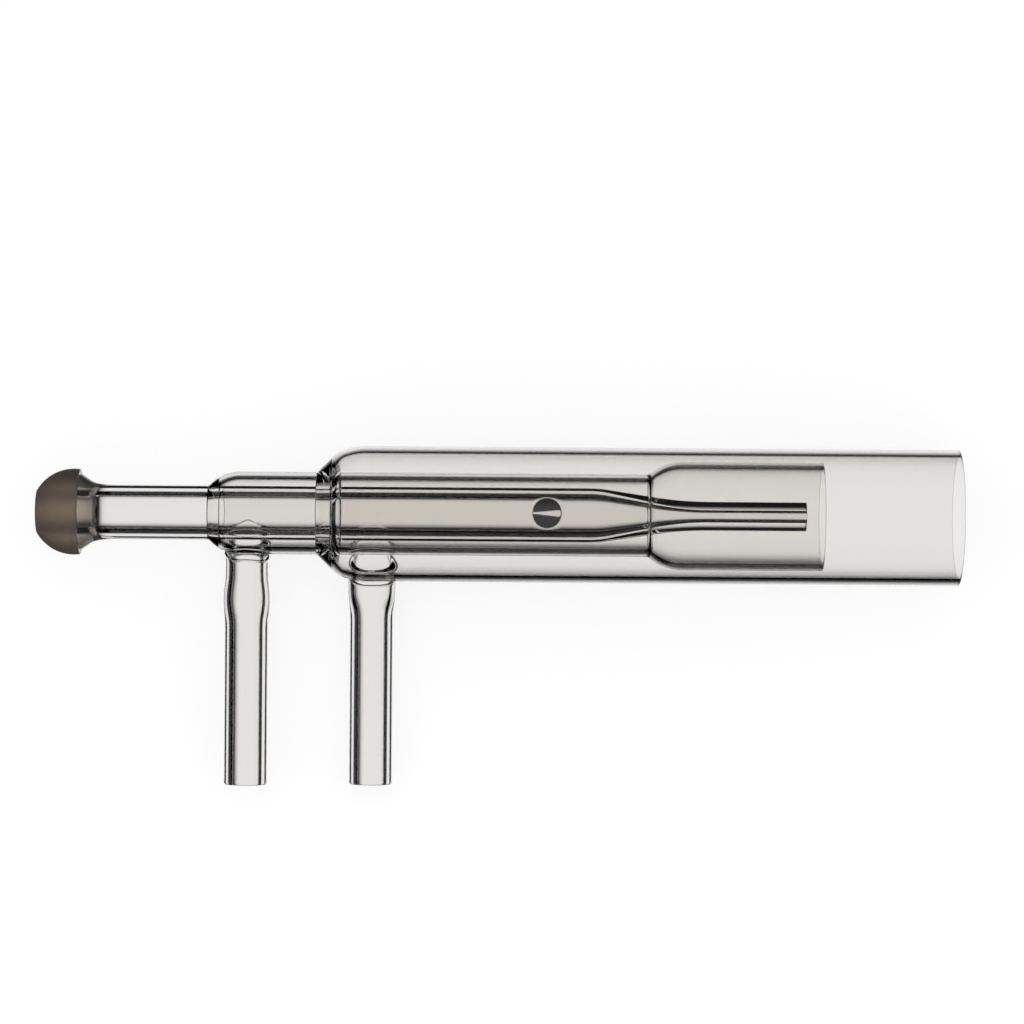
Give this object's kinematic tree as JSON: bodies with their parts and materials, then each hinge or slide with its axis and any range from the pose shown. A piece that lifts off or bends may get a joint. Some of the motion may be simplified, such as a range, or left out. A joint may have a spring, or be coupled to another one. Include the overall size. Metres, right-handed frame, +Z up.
{
  "type": "icp torch",
  "caption": "One-piece fused quartz plasma torch: three nested tubes, a ground ball joint at one end, an open mouth at the other, and side gas inlets.",
  "frame": {"origin": "centre of the flat ring at the mouth of the ground ball, on the torch axis", "axes": "+X along the torch axis from the ball to the open mouth, +Z up from the bench that the torch lies on, inlets towards -Y"},
  "size_m": [0.136, 0.0503, 0.02],
  "materials": {
    "quartz": "clear fire-polished fused quartz, ground on the ball"
  },
  "bodies": {
    "root": {"torch_body": "quartz"}
  },
  "joints": []
}
